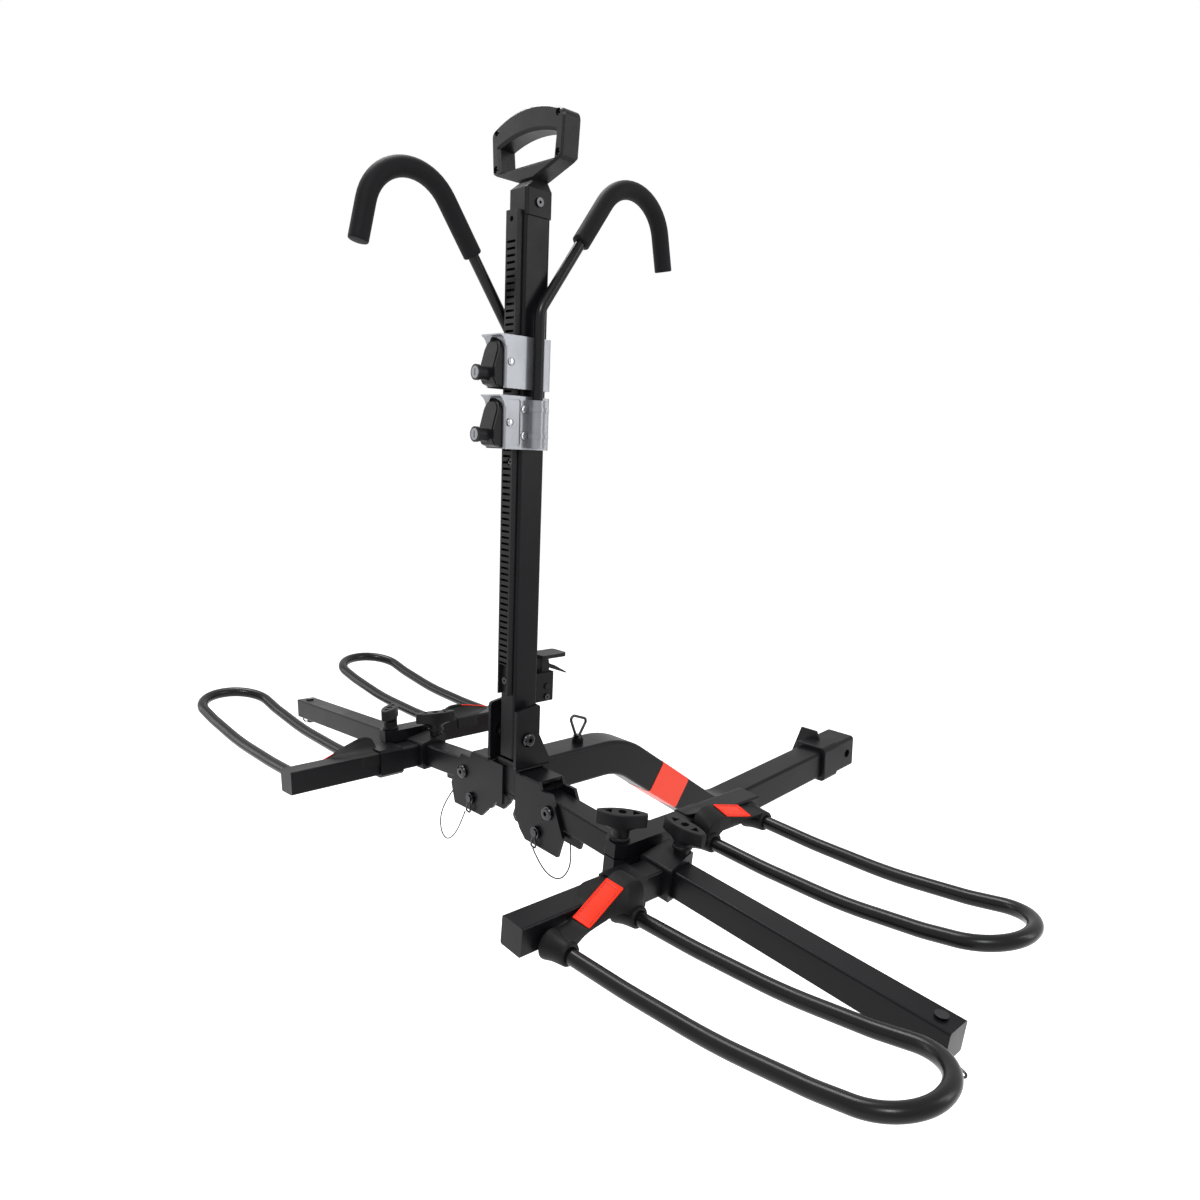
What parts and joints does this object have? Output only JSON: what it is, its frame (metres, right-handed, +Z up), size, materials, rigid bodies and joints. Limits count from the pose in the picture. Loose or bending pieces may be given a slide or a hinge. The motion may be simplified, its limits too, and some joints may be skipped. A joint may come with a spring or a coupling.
{
  "type": "hitch-mounted e-bike rack",
  "caption": "Black folding hitch e-bike rack with a ratchet mast, two frame hooks, sliding wheel hoops and clamp knobs.",
  "frame": {"origin": "centre of the cross pin hole in the hitch receiver", "axes": "+Y towards the vehicle, +X to the right-hand wheel hoops, +Z up"},
  "size_m": [1.3302, 1.0219, 0.9841],
  "materials": {
    "powder_black": "satin",
    "zinc": "satin",
    "alu": "satin",
    "moulded": "matte",
    "foam": "matte",
    "red_wrap": "gloss",
    "strap_rubber": "matte"
  },
  "bodies": {
    "chassis": {"stinger_tube": "powder_black", "receiver": "powder_black", "red_band": "red_wrap", "right_saddle": "powder_black", "left_saddle": "powder_black", "arm_pivot_bolts": "zinc", "hub_bail": "zinc", "mast_bracket": "powder_black", "mast_pivot_bolt": "zinc"},
    "tether_pin": {"pull_pin": "zinc"},
    "right_lock": {"right_lock_pin": "zinc", "right_lanyard": "zinc"},
    "left_lock": {"left_lock_pin": "zinc", "left_lanyard": "zinc"},
    "mast": {"mast_tube": "powder_black", "ratchet_strip": "moulded", "mast_cap": "moulded", "mast_screws": "zinc", "handle_front_shell": "moulded", "handle_rear_shell": "moulded", "handle_screws": "zinc", "latch_bracket": "powder_black"},
    "fold_latch": {"latch_lever": "moulded"},
    "lower_slider": {"lower_carriage": "alu", "lower_rivets": "zinc", "right_hook_bar": "powder_black", "right_hook_sleeve": "foam"},
    "upper_slider": {"upper_carriage": "alu", "upper_rivets": "zinc", "left_hook_bar": "powder_black", "left_hook_sleeve": "foam"},
    "lower_trigger": {"lower_release": "moulded"},
    "upper_trigger": {"upper_release": "moulded"},
    "lower_lock": {"lower_key_plug": "zinc"},
    "upper_lock": {"upper_key_plug": "zinc"},
    "right_arm": {"right_arm_tube": "powder_black", "right_end_stop": "zinc"},
    "left_arm": {"left_arm_tube": "powder_black", "left_end_stop": "zinc"},
    "right_near_tray": {"right_collar": "powder_black", "right_near_tube": "powder_black", "right_near_hoop": "powder_black", "right_near_strap": "strap_rubber"},
    "left_near_tray": {"left_collar": "powder_black", "left_near_tube": "powder_black", "left_near_hoop": "powder_black", "left_near_strap": "strap_rubber"},
    "right_far_tray": {"right_far_bar": "powder_black", "right_far_jaw": "powder_black", "right_far_hoop": "powder_black", "right_far_strap": "strap_rubber"},
    "left_far_tray": {"left_far_bar": "powder_black", "left_far_jaw": "powder_black", "left_far_hoop": "powder_black", "left_far_strap": "strap_rubber"},
    "right_near_clamp": {"right_near_knob": "moulded"},
    "left_near_clamp": {"left_near_knob": "moulded"},
    "right_far_clamp": {"right_far_knob": "moulded"},
    "left_far_clamp": {"left_far_knob": "moulded"}
  },
  "joints": [
    {"name": "mast_fold", "type": "hinge", "parent": "chassis", "child": "mast", "pos_m": [0, -0.7864, 0.181], "axis": [1, 0, 0], "range_deg": [0, 90]},
    {"name": "right_arm_fold", "type": "hinge", "parent": "chassis", "child": "right_arm", "pos_m": [0.0927, -0.7805, 0.1047], "axis": [0, -1, 0], "range_deg": [0, 85]},
    {"name": "left_arm_fold", "type": "hinge", "parent": "chassis", "child": "left_arm", "pos_m": [-0.0927, -0.7805, 0.1047], "axis": [0, 1, 0], "range_deg": [0, 85]},
    {"name": "right_lock_pull", "type": "slide", "parent": "chassis", "child": "right_lock", "axis": [0, -1, 0], "range_m": [0, 0.03]},
    {"name": "left_lock_pull", "type": "slide", "parent": "chassis", "child": "left_lock", "axis": [0, -1, 0], "range_m": [0, 0.03]},
    {"name": "tether_pin_lift", "type": "slide", "parent": "chassis", "child": "tether_pin", "axis": [0, 0, 1], "range_m": [0, 0.01], "stiffness_N_per_m": 400, "springref_m": -0.01},
    {"name": "fold_latch_press", "type": "hinge", "parent": "mast", "child": "fold_latch", "pos_m": [0, -0.7425, 0.242], "axis": [1, 0, 0], "range_deg": [-8, 0], "stiffness_Nm_per_rad": 1.5, "springref_deg": 17.19},
    {"name": "lower_slider_travel", "type": "slide", "parent": "mast", "child": "lower_slider", "axis": [0, 0, 1], "range_m": [-0.15, 0]},
    {"name": "upper_slider_travel", "type": "slide", "parent": "mast", "child": "upper_slider", "axis": [0, 0, 1], "range_m": [0, 0.1]},
    {"name": "lower_trigger_pull", "type": "hinge", "parent": "lower_slider", "child": "lower_trigger", "pos_m": [0, -0.8175, 0.578], "axis": [1, 0, 0], "range_deg": [0, 6], "stiffness_Nm_per_rad": 1, "springref_deg": -17.19},
    {"name": "upper_trigger_pull", "type": "hinge", "parent": "upper_slider", "child": "upper_trigger", "pos_m": [0, -0.8175, 0.647], "axis": [1, 0, 0], "range_deg": [0, 6], "stiffness_Nm_per_rad": 1, "springref_deg": -17.19},
    {"name": "lower_key_turn", "type": "hinge", "parent": "lower_trigger", "child": "lower_lock", "pos_m": [0, -0.8525, 0.5625], "axis": [0, -1, 0], "range_deg": [0, 90]},
    {"name": "upper_key_turn", "type": "hinge", "parent": "upper_trigger", "child": "upper_lock", "pos_m": [0, -0.8525, 0.6325], "axis": [0, -1, 0], "range_deg": [0, 90]},
    {"name": "right_near_slide", "type": "slide", "parent": "right_arm", "child": "right_near_tray", "axis": [0.9973, 0, -0.0732], "range_m": [0, 0.06]},
    {"name": "left_near_slide", "type": "slide", "parent": "left_arm", "child": "left_near_tray", "axis": [0.9973, 0, 0.0732], "range_m": [0, 0.04]},
    {"name": "right_far_slide", "type": "slide", "parent": "right_arm", "child": "right_far_tray", "axis": [-0.9973, 0, 0.0732], "range_m": [0, 0.06]},
    {"name": "left_far_slide", "type": "slide", "parent": "left_arm", "child": "left_far_tray", "axis": [-0.9973, 0, -0.0732], "range_m": [0, 0.06]},
    {"name": "right_near_knob_turn", "type": "hinge", "parent": "right_near_tray", "child": "right_near_clamp", "pos_m": [0.28825, -0.7685, 0.12142], "axis": [0.0732, 0, 0.9973], "continuous": true},
    {"name": "left_near_knob_turn", "type": "hinge", "parent": "left_near_tray", "child": "left_near_clamp", "pos_m": [-0.21329, -0.7685, 0.12693], "axis": [-0.0732, 0, 0.9973], "continuous": true},
    {"name": "right_far_knob_turn", "type": "hinge", "parent": "right_far_tray", "child": "right_far_clamp", "pos_m": [0.23847, -0.8185, 0.12789], "axis": [0.0732, 0, 0.9973], "continuous": true},
    {"name": "left_far_knob_turn", "type": "hinge", "parent": "left_far_tray", "child": "left_far_clamp", "pos_m": [-0.25948, -0.8185, 0.12634], "axis": [-0.0732, 0, 0.9973], "continuous": true}
  ]
}
